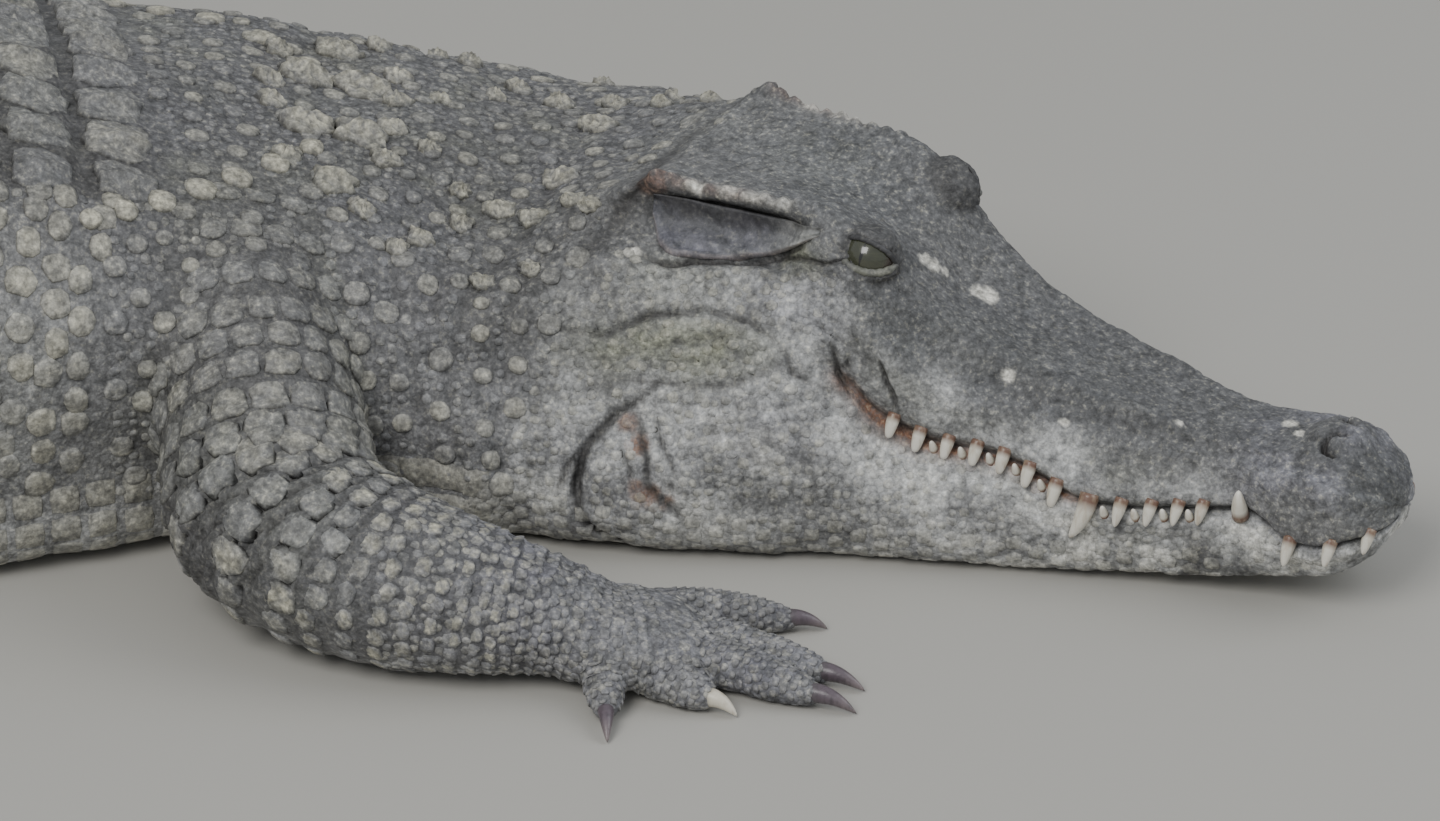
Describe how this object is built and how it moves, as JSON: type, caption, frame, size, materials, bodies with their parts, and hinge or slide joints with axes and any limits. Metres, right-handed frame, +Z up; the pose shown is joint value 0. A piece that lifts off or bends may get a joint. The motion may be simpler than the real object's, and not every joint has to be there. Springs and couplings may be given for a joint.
{
  "type": "saltwater crocodile",
  "caption": "Still life-size model of an adult saltwater crocodile lying on its belly, head turned to its right, mouth shut with teeth showing, tail in a gentle curve.",
  "frame": {"origin": "on the floor, in the middle of the bounding box", "axes": "+X along the trunk towards the shoulders, +Y to the animal's left, +Z up"},
  "size_m": [3.7972, 1.5334, 0.3552],
  "materials": {
    "hide": "matt grey skin set with rounded scales and bony shields",
    "jaw_hide": "satin mottled skin with small flat scales",
    "flank_hide": "matt grey skin, keeled shields on the back and pale oval scales on the flank",
    "tail_hide": "matt dark skin in square whorls with a raised crest",
    "leg_hide": "matt grey skin with small overlapping scales",
    "ear_hide": "smooth satin blue-grey skin",
    "eye": "wet gloss olive with a dark slit pupil",
    "claw": "worn dark horn",
    "pale_claw": "worn pale horn"
  },
  "bodies": {
    "root": {"ear_flap_left": "ear_hide", "ear_flap_right": "ear_hide", "eye_left": "eye", "eye_right": "eye", "fore_left_claw_1": "claw", "fore_left_claw_2": "claw", "fore_left_claw_3": "claw", "fore_left_foot": "leg_hide", "fore_left_lower_leg": "leg_hide", "fore_left_upper_leg": "leg_hide", "fore_right_claw_1": "claw", "fore_right_claw_2": "claw", "fore_right_claw_3": "claw", "fore_right_claw_4": "pale_claw", "fore_right_claw_5": "claw", "fore_right_foot": "leg_hide", "fore_right_lower_leg": "leg_hide", "fore_right_upper_leg": "leg_hide", "head": "hide", "hind_left_claw_1": "claw", "hind_left_claw_2": "claw", "hind_left_claw_3": "claw", "hind_left_foot": "leg_hide", "hind_left_lower_leg": "leg_hide", "hind_left_upper_leg": "leg_hide", "hind_right_claw_1": "claw", "hind_right_claw_2": "claw", "hind_right_claw_3": "claw", "hind_right_foot": "leg_hide", "hind_right_lower_leg": "leg_hide", "hind_right_upper_leg": "leg_hide", "lower_jaw": "jaw_hide", "neck": "hide", "tail_base": "tail_hide", "tail_middle": "tail_hide", "tail_tip": "tail_hide", "trunk": "flank_hide"}
  },
  "joints": []
}
